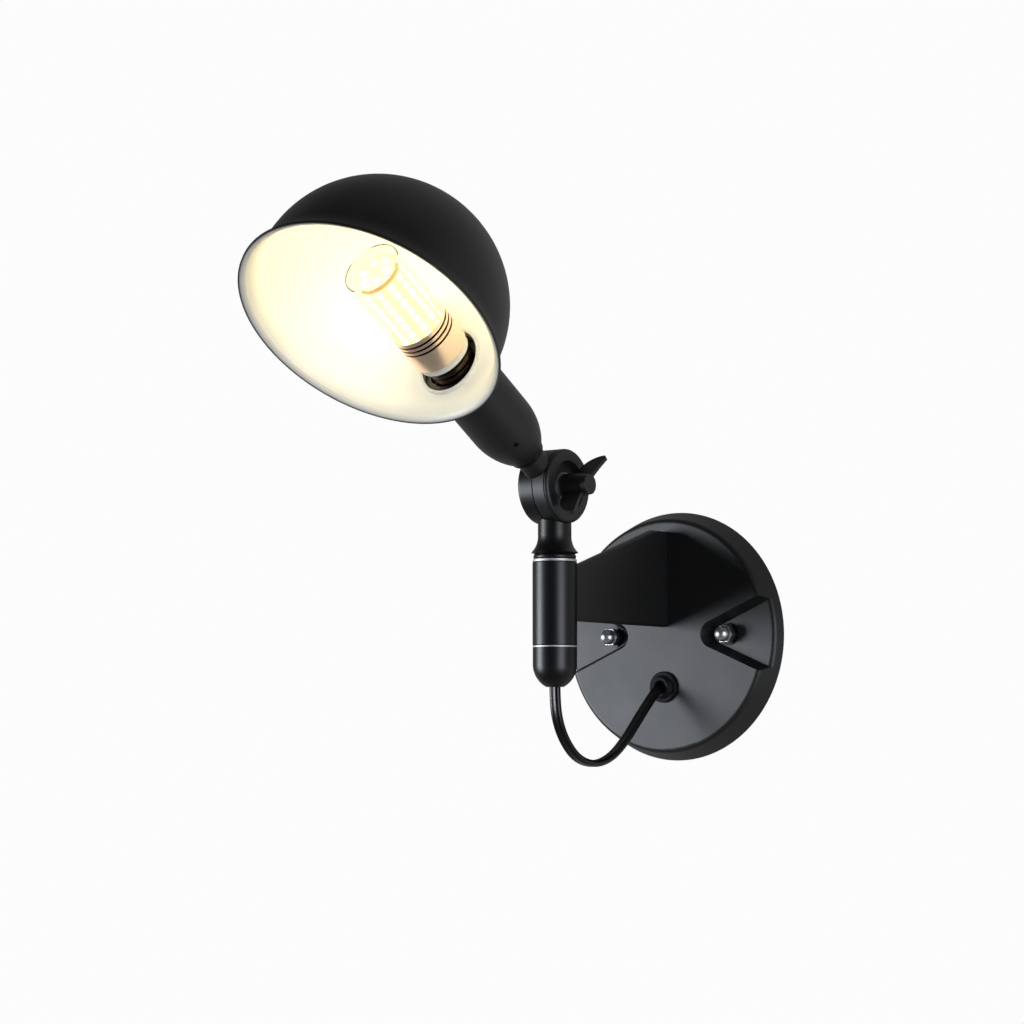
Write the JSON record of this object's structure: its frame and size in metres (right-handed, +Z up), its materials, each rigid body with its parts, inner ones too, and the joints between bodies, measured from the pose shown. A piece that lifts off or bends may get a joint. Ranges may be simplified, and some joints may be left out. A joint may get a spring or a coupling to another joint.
{
  "type": "swing arm wall lamp",
  "caption": "Wall lamp with a round canopy, a fixed arm, a vertical swivel, a tilting knuckle with a wing nut, a domed shade and a hanging cord loop.",
  "frame": {"origin": "centre of the round canopy on the wall, midway between the wall slots", "axes": "+Y into the wall, +Z up, +X to the right seen from in front; the lamp stands out along -Y"},
  "size_m": [0.15, 0.3501, 0.3081],
  "materials": {
    "black_paint": "satin black powder coat",
    "zinc_steel": "zinc plated",
    "chrome": "polished",
    "brass": "plain",
    "black_plastic": "moulded",
    "cream_plastic": "moulded",
    "lead_insulation": "smooth",
    "cord_rubber": "smooth, slightly glossy",
    "white_enamel": "gloss white enamel",
    "nickel_cap": "nickel plated",
    "white_plastic": "moulded",
    "gold_aluminium": "rose gold, satin",
    "yellow_board": "printed board with chips",
    "clear_cover": "clear, polished"
  },
  "bodies": {
    "base": {"wall_bracket": "zinc_steel", "bracket_studs": "zinc_steel", "earth_screw": "brass", "canopy": "black_paint", "stud_washers": "chrome", "acorn_nuts": "chrome", "bracket_arm": "black_paint", "arm_screws": "zinc_steel", "pivot_barrel": "black_paint", "upper_bush": "brass", "lower_bush": "brass", "cord_gland": "black_plastic", "gland_nut": "zinc_steel", "terminal_block": "cream_plastic", "lead_wires": "lead_insulation", "cord": "cord_rubber"},
    "swivel": {"swivel_post": "black_paint", "upper_washer": "chrome", "lower_washer": "chrome", "spindle_nut": "zinc_steel", "end_cap": "black_paint", "knuckle_washer": "black_plastic", "pivot_bolt": "zinc_steel"},
    "head": {"head_knuckle": "black_paint", "clamp_washer": "chrome", "cup_end_ring": "black_paint", "cup_nipple": "zinc_steel", "nipple_nut": "zinc_steel", "socket_cup": "black_paint", "cup_set_screw": "black_paint", "lampholder": "black_plastic", "screw_shell": "brass", "centre_contact": "brass", "shade": "black_paint", "shade_ring": "white_enamel"},
    "wing": {"wing_nut": "black_paint"},
    "bulb": {"bulb_cap": "nickel_cap", "bulb_insulator": "white_plastic", "bulb_heat_sink": "gold_aluminium", "bulb_led_core": "yellow_board", "bulb_leds": "yellow_board", "bulb_top_disc": "white_plastic", "bulb_cover": "clear_cover"}
  },
  "joints": [
    {"name": "arm_swivel", "type": "hinge", "parent": "base", "child": "swivel", "pos_m": [0, -0.1265, 0], "axis": [0, 0, 1], "range_deg": [-90, 90]},
    {"name": "head_tilt", "type": "hinge", "parent": "swivel", "child": "head", "pos_m": [0, -0.1265, 0.0805], "axis": [-1, 0, 0], "range_deg": [-70, 70]},
    {"name": "wing_turn", "type": "hinge", "parent": "swivel", "child": "wing", "pos_m": [0, -0.1265, 0.0805], "axis": [1, 0, 0], "range_deg": [0, 270]},
    {"name": "bulb_turn", "type": "hinge", "parent": "head", "child": "bulb", "pos_m": [0, -0.1265, 0.0805], "axis": [0, -0.8503, 0.5264], "range_deg": [-720, 0]}
  ]
}
